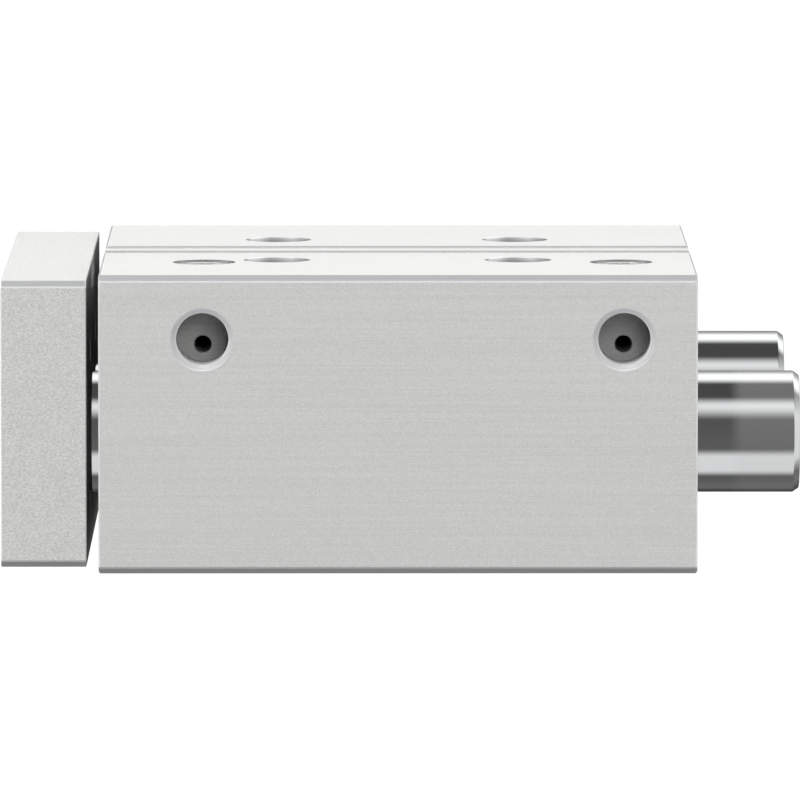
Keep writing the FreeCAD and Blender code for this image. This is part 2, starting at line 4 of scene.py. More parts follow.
import bmesh
import bpy
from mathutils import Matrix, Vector

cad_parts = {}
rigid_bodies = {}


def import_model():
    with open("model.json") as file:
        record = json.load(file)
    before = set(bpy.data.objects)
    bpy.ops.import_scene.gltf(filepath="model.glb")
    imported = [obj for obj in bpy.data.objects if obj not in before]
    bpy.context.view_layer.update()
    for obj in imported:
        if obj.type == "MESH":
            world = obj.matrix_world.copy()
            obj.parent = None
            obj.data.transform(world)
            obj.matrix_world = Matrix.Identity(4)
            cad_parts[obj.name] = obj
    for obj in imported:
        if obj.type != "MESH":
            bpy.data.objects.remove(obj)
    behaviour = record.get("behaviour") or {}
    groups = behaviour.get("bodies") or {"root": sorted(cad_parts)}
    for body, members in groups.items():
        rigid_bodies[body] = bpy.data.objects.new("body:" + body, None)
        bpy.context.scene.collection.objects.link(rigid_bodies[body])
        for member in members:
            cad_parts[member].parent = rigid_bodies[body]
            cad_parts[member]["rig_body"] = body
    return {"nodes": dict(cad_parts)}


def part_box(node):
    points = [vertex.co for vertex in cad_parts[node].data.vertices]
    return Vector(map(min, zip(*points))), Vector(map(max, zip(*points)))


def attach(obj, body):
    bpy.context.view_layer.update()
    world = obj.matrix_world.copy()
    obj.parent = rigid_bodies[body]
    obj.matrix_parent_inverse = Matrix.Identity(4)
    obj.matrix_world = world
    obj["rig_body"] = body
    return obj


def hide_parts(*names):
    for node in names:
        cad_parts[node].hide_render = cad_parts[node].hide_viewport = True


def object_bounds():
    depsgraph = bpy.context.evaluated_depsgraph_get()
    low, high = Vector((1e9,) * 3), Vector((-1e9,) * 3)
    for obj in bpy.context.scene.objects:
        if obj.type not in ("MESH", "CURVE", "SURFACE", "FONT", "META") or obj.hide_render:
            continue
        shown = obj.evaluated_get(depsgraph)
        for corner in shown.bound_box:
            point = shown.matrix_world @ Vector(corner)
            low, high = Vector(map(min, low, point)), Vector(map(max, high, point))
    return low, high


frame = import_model()
cadLow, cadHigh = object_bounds()
scene = bpy.context.scene
mm = 0.001
print("frame loaded:", len(frame["nodes"]), "nodes")

# the camera stands where the photograph was taken from: far off, a little above the top face
photoCamera = {
    "stand": (-6.1 * mm, -2106 * mm, 211.8 * mm),
    "aim": (0.00313, 1.0, -0.08933),
    "lens": 567.0,
    "sensorWidth": 36.0,
    "clipEnd": 100.0,
}


def placeCamera(look):
    lens = bpy.data.cameras.new("photoCamera")
    lens.lens = look["lens"]
    lens.sensor_width = look["sensorWidth"]
    lens.clip_end = look["clipEnd"]
    camera = bpy.data.objects.new("photoCamera", lens)
    camera.location = look["stand"]
    camera.rotation_euler = Vector(look["aim"]).to_track_quat("-Z", "Y").to_euler()
    scene.collection.objects.link(camera)
    scene.camera = camera
    scene.view_settings.view_transform = "Standard"


placeCamera(photoCamera)
print("camera placed")


# small helpers for node trees

def addNode(tree, kind, inputs=None, **settings):
    made = tree.nodes.new(kind)
    for name, setting in settings.items():
        setattr(made, name, setting)
    for socket, source in (inputs or {}).items():
        if isinstance(source, bpy.types.NodeSocket):
            tree.links.new(source, made.inputs[socket])
        else:
            made.inputs[socket].default_value = source
    return made


def grey(level, tint=(1, 1, 1)):
    return (level * tint[0], level * tint[1], level * tint[2], 1.0)


def mathNode(tree, operation, *values):
    return addNode(tree, "ShaderNodeMath", dict(enumerate(values)), operation=operation).outputs["Value"]


def vectorNode(tree, operation, *vectors):
    made = addNode(tree, "ShaderNodeVectorMath", dict(enumerate(vectors)), operation=operation)
    return made.outputs["Value" if operation == "LENGTH" else "Vector"]


def mixColour(tree, factor, first, second):
    # sockets 6 and 7 and output 2 are the colour ones of the Mix node
    return addNode(tree, "ShaderNodeMix", {0: factor, 6: first, 7: second}, data_type="RGBA").outputs[2]


def mixValue(tree, factor, first, second):
    # sockets 2 and 3 and output 0 are those for plain numbers
    return addNode(tree, "ShaderNodeMix", {0: factor, 2: first, 3: second}).outputs[0]


def mapRange(tree, value, low, high, newLow, newHigh):
    inputs = dict(enumerate((value, low, high, newLow, newHigh)))
    return addNode(tree, "ShaderNodeMapRange", inputs).outputs["Result"]


def objectPlace(tree):
    return addNode(tree, "ShaderNodeTexCoord").outputs["Object"]


def splitPlace(tree, place):
    return addNode(tree, "ShaderNodeSeparateXYZ", {0: place}).outputs


def bandRamp(tree, share, look):
    # the first stop stands at the start of the ramp and the last one at its end
    made = addNode(tree, "ShaderNodeValToRGB", {0: share})
    ramp = made.color_ramp
    ramp.interpolation = "EASE"
    first, last = look["stops"][0][0], look["stops"][-1][0]
    for index, (at, brightness) in enumerate(look["stops"]):
        place = (at - first) / (last - first)
        stop = ramp.elements[index] if index < 2 else ramp.elements.new(place)  # a new ramp has two
        stop.position = place
        stop.color = grey(brightness / look["strength"])
    return made.outputs["Color"]


# studio: long light boxes along X, which show as bands in the polished rods, and soft area lights
studioBoxes = {
    "strength": 1.5,
    # degrees up from the camera's horizon and over the object, then the brightness there
    "stops": (
        (-180, 0.03), (-150, 0.06), (-128, 0.15), (-92, 0.11), (-74, 0.78), (-46, 0.79), (-28, 0.12),
        (25, 0.10), (54, 0.89), (75, 0.07), (105, 0.07), (126, 1.2), (138, 1.2), (160, 0.40), (180, 0.15),
    ),
    "ends": 0.8,
    "endsFrom": 0.70,
    "endsFull": 0.92,
}

softLights = {
    "front": {"at": (-0.25, -0.81, 1.69), "size": 0.9, "watts": 40.5, "colour": (1.0, 0.998, 0.985)},
    "fill": {"at": (0.30, -1.7, 0.58), "size": 0.8, "watts": 6.4, "colour": (1.0, 1.0, 0.995)},
    "bounce": {"at": (0.0, -1.0, -1.25), "size": 1.6, "watts": 8.3, "colour": (1.0, 1.0, 1.0)},
    "leftEnd": {"at": (-1.8, -0.2, 0.5), "size": 1.2, "watts": 20.0, "colour": (1.0, 1.0, 1.0)},
    "rightEnd": {"at": (1.7, 0.2, 0.4), "size": 1.2, "watts": 24.0, "colour": (1.0, 1.0, 1.0)},
    "back": {"at": (0.2, 1.8, 0.4), "size": 1.2, "watts": 22.0, "colour": (1.0, 1.0, 1.0)},
}

paleFloor = {"reach": 8.0, "gap": 0.2 * mm}

paperWhite = 1.05  # brightness of the floor and of what is behind the object


def buildWorld(look):
    world = bpy.data.worlds.new("studioBoxes")
    scene.world = world
    world.use_nodes = True
    world.cycles_visibility.diffuse = False
    tree = world.node_tree
    tree.nodes.clear()
    way = splitPlace(tree, addNode(tree, "ShaderNodeTexCoord").outputs["Generated"])
    towardsCamera = mathNode(tree, "MULTIPLY", way["Y"], -1.0)
    angle = mathNode(tree, "ARCTAN2", way["Z"], towardsCamera)
    bands = bandRamp(tree, mapRange(tree, angle, -math.pi, math.pi, 0.0, 1.0), look)
    sideways = mathNode(tree, "ABSOLUTE", way["X"])
    atEnds = mapRange(tree, sideways, look["endsFrom"], look["endsFull"], 0.0, 1.0)
    colour = mixColour(tree, atEnds, bands, grey(look["ends"] / look["strength"]))
    boxes = addNode(tree, "ShaderNodeBackground", {"Color": colour, "Strength": look["strength"]})
    plain = addNode(tree, "ShaderNodeBackground", {"Color": grey(1), "Strength": paperWhite})
    seen = addNode(tree, "ShaderNodeLightPath").outputs["Is Camera Ray"]
    mixed = addNode(tree, "ShaderNodeMixShader", {0: seen, 1: boxes.outputs[0], 2: plain.outputs[0]})
    addNode(tree, "ShaderNodeOutputWorld", {"Surface": mixed.outputs[0]})


def placeLights(lights):
    middle = (cadLow + cadHigh) / 2
    for name, look in lights.items():
        data = bpy.data.lights.new(name, "AREA")
        data.shape = "DISK"
        data.size = look["size"]
        data.energy = look["watts"]
        data.color = look["colour"]
        light = bpy.data.objects.new(name, data)
        light.location = look["at"]
        light.rotation_euler = (middle - light.location).to_track_quat("-Z", "Y").to_euler()
        light.visible_glossy = False
        light.visible_camera = False
        scene.collection.objects.link(light)


def layFloor(look):
    # a pale floor that shows from above only, so the underside can be looked at
    bm = bmesh.new()
    bmesh.ops.create_grid(bm, x_segments=1, y_segments=1, size=look["reach"])
    bmesh.ops.translate(bm, verts=bm.verts, vec=(0, 0, cadLow.z - look["gap"]))
    mesh = bpy.data.meshes.new("paleFloor")
    bm.to_mesh(mesh)
    bm.free()
    floor = bpy.data.objects.new("paleFloor", mesh)
    scene.collection.objects.link(floor)
    paint = bpy.data.materials.new("paleFloor")
    paint.use_nodes = True
    tree = paint.node_tree
    tree.nodes.clear()
    glow = addNode(tree, "ShaderNodeEmission", {"Color": grey(1), "Strength": paperWhite})
    clear = addNode(tree, "ShaderNodeBsdfTransparent")
    below = addNode(tree, "ShaderNodeNewGeometry").outputs["Backfacing"]
    shown = addNode(tree, "ShaderNodeMixShader", {0: below, 1: glow.outputs[0], 2: clear.outputs[0]})
    addNode(tree, "ShaderNodeOutputMaterial", {"Surface": shown.outputs[0]})
    mesh.materials.append(paint)
    floor.visible_glossy = False
    floor.visible_diffuse = False
    floor.visible_shadow = False


buildWorld(studioBoxes)
placeLights(softLights)
layFloor(paleFloor)
print("studio built:", len(softLights), "lights")


# shared surface effects, as node groups

vectorSocket, numberSocket = "NodeSocketVector", "NodeSocketFloat"

# patches per metre, and the least share of the edge wear and its painted highlight that is left between them
wearLook = {"patches": 900.0, "least": 0.93}


def newGroup(name, inputs, outputs):
    group = bpy.data.node_groups.new(name, "ShaderNodeTree")
    for label, kind in inputs.items():
        group.interface.new_socket(label, in_out="INPUT", socket_type=kind)
    for label, kind in outputs.items():
        group.interface.new_socket(label, in_out="OUTPUT", socket_type=kind)
    return group, group.nodes.new("NodeGroupInput").outputs


def spreadNoise(tree, noise, low=0.0, high=1.0):
    # most of a noise lies between 0.3 and 0.7
    return mapRange(tree, noise, 0.3, 0.7, low, high)


def stretchedNoise(tree, stretch, detail):
    pulled = vectorNode(tree, "MULTIPLY", objectPlace(tree), stretch)
    return addNode(tree, "ShaderNodeTexNoise", {"Vector": pulled, "Scale": 1.0, "Detail": detail}).outputs[0]


def buildSurfaceGrain():
    # fine grain with longer streaks in it; the stretches are repeats per metre along X, Y and Z
    inputs = {"Grain": vectorSocket, "Streaks": vectorSocket, "Streak Share": numberSocket}
    group, given = newGroup("surfaceGrain", inputs, {"Tone": numberSocket})
    grain = stretchedNoise(group, given["Grain"], detail=2.0)
    streaks = stretchedNoise(group, given["Streaks"], detail=3.0)
    mixed = mixValue(group, given["Streak Share"], grain, streaks)
    addNode(group, "NodeGroupOutput", {"Tone": spreadNoise(group, mixed)})
    return group


def buildTurnedRings():
    # the fine rings that a lathe tool leaves round an axis along X
    inputs = {"Axis": vectorSocket, "Pitch": numberSocket}
    group, given = newGroup("turnedRings", inputs, {"Tone": numberSocket})
    away = vectorNode(group, "SUBTRACT", objectPlace(group), given["Axis"])
    radius = vectorNode(group, "LENGTH", vectorNode(group, "MULTIPLY", away, (0, 1, 1)))
    inputs = {"W": mathNode(group, "DIVIDE", radius, given["Pitch"]), "Scale": 1.0, "Detail": 2.0}
    noise = addNode(group, "ShaderNodeTexNoise", inputs, noise_dimensions="1D").outputs[0]
    addNode(group, "NodeGroupOutput", {"Tone": spreadNoise(group, noise)})
    return group


def buildEdgeWearAndHighlight():
    # where the finish has thinned along broken edges, lighter and glossier, which also paints a highlight
    # along them; the meshes mark these edges with the attribute "edge"
    inputs = {"Amount": numberSocket, "Patches": numberSocket}
    group, given = newGroup("edgeWearAndHighlight", inputs, {"Mask": numberSocket})
    edge = addNode(group, "ShaderNodeAttribute", attribute_name="edge").outputs["Fac"]
    inputs = {"Vector": objectPlace(group), "Scale": given["Patches"], "Detail": 2.0}
    patches = addNode(group, "ShaderNodeTexNoise", inputs).outputs[0]
    broken = spreadNoise(group, patches, low=wearLook["least"])
    wornAndHighlighted = mathNode(group, "MULTIPLY", mathNode(group, "MULTIPLY", edge, broken), given["Amount"])
    addNode(group, "NodeGroupOutput", {"Mask": wornAndHighlighted})
    return group


surfaceGrain = buildSurfaceGrain()
turnedRings = buildTurnedRings()
edgeWearAndHighlight = buildEdgeWearAndHighlight()


# finishes: sizes in their dictionaries are in millimetres, and an axis is a point in metres

def perMetre(*spans):
    # a stretch from the size that one repeat has along X, Y and Z
    return tuple(1 / (span * mm) for span in spans)


def grainTone(tree, look):
    if "pitch" in look:
        inputs = {"Axis": look["axis"], "Pitch": look["pitch"] * mm}
        return addNode(tree, "ShaderNodeGroup", inputs, node_tree=turnedRings).outputs["Tone"]
    inputs = {"Grain": perMetre(*look["grain"]), "Streaks": perMetre(*look["streaks"])}
    inputs["Streak Share"] = look["streakShare"]
    return addNode(tree, "ShaderNodeGroup", inputs, node_tree=surfaceGrain).outputs["Tone"]


def paintedBoreSheen(tree, look):
    # painted reflection streaks down the walls of bores that repeat along X, and painted shade further down,
    # both multiplied into the base colour
    place = splitPlace(tree, objectPlace(tree))
    across = mathNode(tree, "WRAP", place["X"], look["repeat"] * mm, 0.0)
    left, right = (look["repeat"] / 2 + way * look["radius"] for way in (-1, 1))
    streaks = bandRamp(tree, mapRange(tree, across, left * mm, right * mm, 0.0, 1.0), look)
    faded = cadHigh.z - look["fadeDepth"] * mm
    paintedDepthShade = mapRange(tree, place["Z"], faded, cadHigh.z, look["deepShadeLevel"], 1.0)
    return mathNode(tree, "MULTIPLY", streaks, paintedDepthShade)


def lighterStretchMetallic(tree, look):
    # how metallic the surface is along X, less so past a point, so the lamps lighten its dark reflection
    # bands there: a painted reflection difference
    start, full = (edge * mm for edge in look["lighterStretch"]["along"])
    along = splitPlace(tree, objectPlace(tree))["X"]
    return mapRange(tree, along, start, full, look["metallic"], look["lighterStretch"]["metallic"])


def grainedFinish(name, look):
    # a surface whose tone, gloss and relief all follow one grain
    material = bpy.data.materials.new(name)
    material.use_nodes = True
    tree = material.node_tree
    shader = tree.nodes["Principled BSDF"].inputs
    tone = grainTone(tree, look)
    tint = look.get("tint", (1, 1, 1))
    low, high = look["level"] - look["span"], look["level"] + look["span"]
    colour = mixColour(tree, tone, grey(low, tint), grey(high, tint))
    low, high = look["rough"] - look["roughSpan"], look["rough"] + look["roughSpan"]
    rough = mapRange(tree, tone, 0.0, 1.0, low, high)
    # painted reflection streaks and painted shade deeper down in the bores
    if "paintedSheen" in look:
        colour = mixColour(tree, paintedBoreSheen(tree, look["paintedSheen"]), grey(0), colour)
    # worn edges turn lighter and glossier: partly real wear and partly a painted highlight along the edges
    if "wearAndHighlight" in look:
        inputs = {"Amount": look["wearAndHighlight"], "Patches": wearLook["patches"]}
        mask = addNode(tree, "ShaderNodeGroup", inputs, node_tree=edgeWearAndHighlight).outputs["Mask"]
        colour = mixColour(tree, mask, colour, grey(look["wornHighlightLevel"], tint))
        rough = mixValue(tree, mask, rough, look["wornRough"])
    tree.links.new(colour, shader["Base Color"])
    tree.links.new(rough, shader["Roughness"])
    shader["Metallic"].default_value = look["metallic"]
    # the painted reflection difference along X, made through the metallic value
    if "lighterStretch" in look:
        tree.links.new(lighterStretchMetallic(tree, look), shader["Metallic"])
    inputs = {"Strength": look["bump"], "Distance": look["relief"] * mm, "Height": tone}
    tree.links.new(addNode(tree, "ShaderNodeBump", inputs).outputs[0], shader["Normal"])
    return material


axisHeight = sum(corner.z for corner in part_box("piston_rod")) / 2

drawnAluminium = grainedFinish("drawnAluminium", {
    "level": 0.70, "span": 0.088, "tint": (1, 1, 0.99), "metallic": 0.12, "rough": 0.43, "roughSpan": 0.05,
    "grain": (0.35, 0.16, 0.16), "streaks": (40, 0.3, 0.3), "streakShare": 0.28,
    "bump": 0.15, "relief": 0.01, "wearAndHighlight": 0.7, "wornHighlightLevel": 0.80, "wornRough": 0.3,
})
milledAluminium = grainedFinish("milledAluminium", {
    "level": 0.72, "span": 0.05, "tint": (1, 1, 0.99), "metallic": 0.5, "rough": 0.34, "roughSpan": 0.05,
    "grain": (0.3, 0.18, 0.18), "streaks": (5, 0.35, 30), "streakShare": 0.5, "bump": 0.03, "relief": 0.01,
})
cutChamfer = grainedFinish("cutChamfer", {
    "level": 0.57, "span": 0.02, "tint": (0.975, 0.985, 1.01),
    "metallic": 0.5, "rough": 0.42, "roughSpan": 0.03,
    "grain": (0.6, 0.15, 0.15), "streaks": (30, 0.3, 0.3), "streakShare": 0.6, "bump": 0.05, "relief": 0.005,
    "wearAndHighlight": 0.8, "wornHighlightLevel": 0.94, "wornRough": 0.2,
})
boredAluminium = grainedFinish("boredAluminium", {
    "level": 0.66, "span": 0.05, "metallic": 0.4, "rough": 0.40, "roughSpan": 0.05,
    "grain": (0.25, 0.25, 0.25), "streaks": (0.2, 4, 4), "streakShare": 0.5, "bump": 0.2, "relief": 0.01,
    "wearAndHighlight": 0.8, "wornHighlightLevel": 0.9, "wornRough": 0.3,
})
blastedAluminium = grainedFinish("blastedAluminium", {
    "level": 0.714, "span": 0.13, "tint": (1, 1, 0.99), "metallic": 0.12, "rough": 0.38, "roughSpan": 0.06,
    "grain": (0.42, 0.23, 0.23), "streaks": (2.5, 2.5, 2.5), "streakShare": 0.1,
    "bump": 0.4, "relief": 0.015, "wearAndHighlight": 0.7, "wornHighlightLevel": 0.82, "wornRough": 0.3,
})
# a faced finish, darker than the others as painted shade for the narrow gap between the plate and the
# housing
facedGapShadeAluminium = grainedFinish("facedGapShadeAluminium", {
    "level": 0.56, "span": 0.05, "tint": (1, 1, 0.99), "metallic": 1.0, "rough": 0.70, "roughSpan": 0.04,
    "grain": (0.3, 0.18, 0.18), "streaks": (5, 0.35, 30), "streakShare": 0.5, "bump": 0.03, "relief": 0.01,
})
chromeLook = {
    "level": 0.83, "span": 0.01, "tint": (0.99, 1.0, 1.01),
    "metallic": 1.0, "rough": 0.07, "roughSpan": 0.015,
    "grain": (0.06, 4, 4), "streaks": (0.5, 12, 12), "streakShare": 0.4, "bump": 0.04, "relief": 0.002,
}
chrome = grainedFinish("chrome", chromeLook)
# painted reflection difference: the near rod is a little less metallic past the stretch next to its wiper,
# so its dark reflection bands read lighter there
nearRodLighterStretch = {"along": (54.4, 56.4), "metallic": 0.90}
stretchLitChrome = grainedFinish("stretchLitChrome", dict(chromeLook, lighterStretch=nearRodLighterStretch))
turnedAluminium = grainedFinish("turnedAluminium", {
    "axis": (0, 0, axisHeight), "pitch": 0.12, "level": 0.74, "span": 0.10, "metallic": 0.8, "rough": 0.34,
    "roughSpan": 0.06, "bump": 0.3, "relief": 0.006,
})
bareSteel = grainedFinish("bareSteel", {
    "level": 0.56, "span": 0.05, "metallic": 0.9, "rough": 0.34, "roughSpan": 0.06,
    "grain": (0.2, 0.2, 0.2), "streaks": (2, 2, 2), "streakShare": 0.5, "bump": 0.15, "relief": 0.006,
    "wearAndHighlight": 0.7, "wornHighlightLevel": 0.8, "wornRough": 0.22,
})
spotFaced = grainedFinish("spotFaced", {
    "level": 0.98, "span": 0.02, "tint": (1.0, 1.0, 1.01), "metallic": 0.1, "rough": 0.34, "roughSpan": 0.03,
    "grain": (0.5, 0.5, 0.2), "streaks": (6, 6, 0.4), "streakShare": 0.5, "bump": 0.0, "relief": 0.01,
    # the walls take painted reflection streaks, and painted shade deeper down
    "paintedSheen": {
        "repeat": 40, "radius": 5.5, "fadeDepth": 0.9, "deepShadeLevel": 0.5, "strength": 1.0,
        # the painted streaks, from the left of a bore to its right
        "stops": (
            (-1, 0.30), (-0.80, 1.0), (-0.66, 1.0), (-0.19, 0.60), (0.40, 0.82), (0.72, 0.50), (1, 0.34),
        ),
    },
})
portCut = grainedFinish("portCut", {
    "level": 0.70, "span": 0.02, "tint": (0.985, 0.99, 1.01),
    "metallic": 0.5, "rough": 0.40, "roughSpan": 0.03,
    "grain": (0.6, 0.15, 0.15), "streaks": (3, 0.3, 3), "streakShare": 0.5, "bump": 0.03, "relief": 0.005,
    "wearAndHighlight": 0.9, "wornHighlightLevel": 1.0, "wornRough": 0.16,
})
brightCut = grainedFinish("brightCut", {
    "level": 0.27, "span": 0.03, "metallic": 0.92, "rough": 0.26, "roughSpan": 0.04,
    "grain": (0.4, 0.4, 0.2), "streaks": (4, 4, 0.3), "streakShare": 0.5, "bump": 0.02, "relief": 0.005,
})
platedSteel = grainedFinish("platedSteel", {
    "level": 0.32, "span": 0.04, "metallic": 0.35, "rough": 0.36, "roughSpan": 0.05,
    "grain": (0.2, 0.2, 0.2), "streaks": (2, 2, 2), "streakShare": 0.5, "bump": 0.1, "relief": 0.006,
    "wearAndHighlight": 0.9, "wornHighlightLevel": 0.90, "wornRough": 0.25,
})
socketSteel = grainedFinish("socketSteel", {
    "level": 0.55, "span": 0.05, "metallic": 0.1, "rough": 0.32, "roughSpan": 0.06,
    "grain": (0.3, 0.3, 0.2), "streaks": (0.3, 0.3, 3), "streakShare": 0.5, "bump": 0.1, "relief": 0.006,
})
springSteel = grainedFinish("springSteel", {
    "level": 0.10, "span": 0.02, "metallic": 0.8, "rough": 0.38, "roughSpan": 0.08,
    "grain": (0.25, 0.25, 0.25), "streaks": (3, 3, 3), "streakShare": 0.5, "bump": 0.2, "relief": 0.006,
    "wearAndHighlight": 0.7, "wornHighlightLevel": 0.35, "wornRough": 0.3,
})
bronze = grainedFinish("bronze", {
    "level": 0.55, "span": 0.06, "tint": (1.0, 0.70, 0.40), "metallic": 1.0, "rough": 0.4, "roughSpan": 0.08,
    "grain": (0.2, 0.2, 0.2), "streaks": (2, 2, 2), "streakShare": 0.5, "bump": 0.2, "relief": 0.008,
})
ferrite = grainedFinish("ferrite", {
    "level": 0.05, "span": 0.01, "metallic": 0.2, "rough": 0.6, "roughSpan": 0.08,
    "grain": (0.2, 0.2, 0.2), "streaks": (2, 2, 2), "streakShare": 0.5, "bump": 0.2, "relief": 0.01,
})
mouldedLook = {
    "metallic": 0.0, "roughSpan": 0.08, "bump": 0.3, "relief": 0.02,
    "grain": (0.4, 0.4, 0.4), "streaks": (3, 3, 3), "streakShare": 0.4,
}
blackRubber = grainedFinish("blackRubber", dict(
    mouldedLook, level=0.022, span=0.0066, tint=(1, 1, 1.03), rough=0.58))
castPolyurethane = grainedFinish("castPolyurethane", dict(
    mouldedLook, level=0.3, span=0.09, tint=(1.0, 0.3, 0.15), rough=0.42))
paleAcetal = grainedFinish("paleAcetal", dict(
    mouldedLook, level=0.62, span=0.186, tint=(1.0, 0.97, 0.88), rough=0.4))
print("materials made:", len(bpy.data.materials))


# mesh helpers

mergeDistance = 0.002 * mm
touching = 0.004 * mm
longEdge = 5 * mm

# angles between faces, in degrees
flatAngle = 0.5
smoothAngle = 18
sharpAngle = 25

# the share of a normal along an axis, for a face that looks that way and for one that slants
facing = 0.9
slanting = 0.2


def copyOfNode(name):
    bm = bmesh.new()
    bm.from_mesh(frame["nodes"][name].data)
    bmesh.ops.remove_doubles(bm, verts=bm.verts, dist=mergeDistance)
    bmesh.ops.dissolve_limit(bm, angle_limit=math.radians(flatAngle), verts=bm.verts, edges=bm.edges)
    return bm


def spunProfile(points, y, steps):
    # a turned solid at the rods' height, from (x, radius) points in metres
    bm = bmesh.new()
    verts = [bm.verts.new((x, y, axisHeight + radius)) for x, radius in points]
    edges = [bm.edges.new(pair) for pair in zip(verts, verts[1:])]
    bmesh.ops.spin(bm, geom=verts + edges, cent=(0, y, axisHeight), axis=(1, 0, 0), angle=2 * math.pi,
                   steps=steps, use_merge=True, use_duplicate=False)
    bmesh.ops.remove_doubles(bm, verts=bm.verts, dist=mergeDistance)
    bmesh.ops.recalc_face_normals(bm, faces=bm.faces)
    return bm


def isSharp(edge, least=sharpAngle):
    return edge.is_manifold and edge.calc_face_angle_signed() > math.radians(least)


def runsAlong(a, b):
    # the ends of a long edge in the direction of the stroke
    return abs(b.x - a.x) > longEdge


def sharpEdges(bm, chosen):
    # the outward edges whose two ends pass the test
    return [edge for edge in bm.edges if isSharp(edge) and chosen(edge.verts[0].co, edge.verts[1].co)]


def breakEdges(bm, edges, width, wornAndHighlighted=True):
    # a small cut along these edges, marked for the edge wear and its painted highlight where it doesn't look
    # down
    mark = bm.loops.layers.float.get("edge") or bm.loops.layers.float.new("edge")
    made = bmesh.ops.bevel(bm, geom=edges, offset=width * mm, offset_type="OFFSET", segments=1,
                           profile=0.5, affect="EDGES", clamp_overlap=True, material=-1)
    for face in made["faces"]:
        face.normal_update()
        for loop in face.loops:
            loop[mark] = 1.0 if wornAndHighlighted and face.normal.z > -slanting else 0.0


def finishPiece(bm, node, materials):
    # the piece takes the node's place on the body that carries it
    name = f"dressed_{node}"
    mesh = bpy.data.meshes.new(name)
    bm.to_mesh(mesh)
    bm.free()
    for material in materials:
        mesh.materials.append(material)
    for stale in ("custom_normal", "sharp_edge"):
        if stale in mesh.attributes:
            mesh.attributes.remove(mesh.attributes[stale])
    mesh.shade_smooth()
    mesh.set_sharp_from_angle(angle=math.radians(smoothAngle))
    piece = bpy.data.objects.new(name, mesh)
    scene.collection.objects.link(piece)
    weights = piece.modifiers.new("faceWeights", "WEIGHTED_NORMAL")
    weights.keep_sharp = True
    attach(piece, frame["nodes"][node]["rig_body"])
    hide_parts(node)


# holes that are turned anew: a hole has a mouth, a way inwards, and depth and radius points in millimetres

rimSlack = 0.05 * mm

# a rim starts under the flat face outside its mouth, and the edge at its mouth is eased
rimLook = {
    "lapDepth": 0.03, "lapReach": 0.06, "easeDepth": 0.04, "easeReach": 0.05,
    "opening": 0.03, "clearance": 0.1,
}

# one turn of a thread: the share of its pitch, and which radius the wall has there
threadShape = ((0.25, "core"), (0.5625, "root"), (0.6875, "root"), (1.0, "core"))


def placeInHole(point, mouth, inwards):
    # how deep a point is in a hole, and which way it lies from the hole's axis
    away = point - mouth
    depth = away.dot(inwards)
    return depth, away - depth * inwards


def clearHole(bm, mouth, inwards, depth, reach):
    # takes out the mesh of the wall, from the mouth down to a depth
    doomed = []
    for face in bm.faces:
        along, outwards = placeInHole(face.calc_center_median(), mouth, inwards)
        if touching < along < depth * mm - touching and outwards.length < reach * mm:
            doomed.append(face)
    bmesh.ops.delete(bm, geom=doomed, context="FACES")


def widenRim(bm, mouth, inwards, core, radius):
    # moves the open rim of a cleared hole outwards in its flat face
    for vert in bm.verts:
        along, outwards = placeInHole(vert.co, mouth, inwards)
        if abs(along) < touching and abs(outwards.length - core * mm) < rimSlack:
            vert.co += outwards.normalized() * (radius * mm - outwards.length)


def turnHole(bm, mouth, inwards, profile, steps):
    # turns the wall, facing the axis, and gives its faces
    before = set(bm.faces)
    sideways = inwards.orthogonal().normalized()
    verts = [bm.verts.new(mouth + (inwards * depth + sideways * radius) * mm) for depth, radius in profile]
    edges = [bm.edges.new(pair) for pair in zip(verts, verts[1:])]
    bmesh.ops.spin(bm, geom=verts + edges, cent=mouth, axis=inwards, angle=2 * math.pi, steps=steps,
                   use_merge=True, use_duplicate=False)
    made = [face for face in bm.faces if face not in before]
    bmesh.ops.recalc_face_normals(bm, faces=made)
    facingOut = 0
    for face in made:
        outwards = placeInHole(face.calc_center_median(), mouth, inwards)[1]
        facingOut += face.normal.dot(outwards) * face.calc_area()
    if facingOut > 0:
        bmesh.ops.reverse_faces(bm, faces=made)
    return made


def threadRings(start, look):
    # a thread, as one ring for each turn, from the end of a plain wall
    points = []
    for turn in range(look["turns"]):
        first = start + turn * look["pitch"]
        points += [(first + share * look["pitch"], look[radius]) for share, radius in threadShape]
    return points


def countersink(mouth, core):
    # from the flat face round a hole to its wall
    lap = (rimLook["lapDepth"], mouth + rimLook["lapReach"])
    ease = (rimLook["easeDepth"], mouth - rimLook["easeReach"])
    return [lap, (0.0, mouth), ease, (mouth - core, core)]


def openTapped(bm, mouth, inwards, look):
    # takes out a plain through hole and makes room for the countersinks at its two ends
    clearHole(bm, mouth, inwards, look["length"], look["core"] + rimLook["clearance"])
    for depth, radius in zip((0, look["length"]), look["mouths"]):
        widenRim(bm, mouth + inwards * depth * mm, inwards, look["core"], radius + rimLook["opening"])


def turnTapped(bm, mouth, inwards, look, finish):
    near, far = look["mouths"]
    points = countersink(near, look["core"])
    points += threadRings(points[-1][0], look)
    farEnd = reversed(countersink(far, look["core"]))
    points += [(look["length"] - depth, radius) for depth, radius in farEnd]
    for face in turnHole(bm, mouth, inwards, points, look["steps"]):
        face.material_index = finish


# housing: drawn sides, a milled rear end, a faced front end darkened as painted shade for the gap to the
# plate, cut chamfers and bores

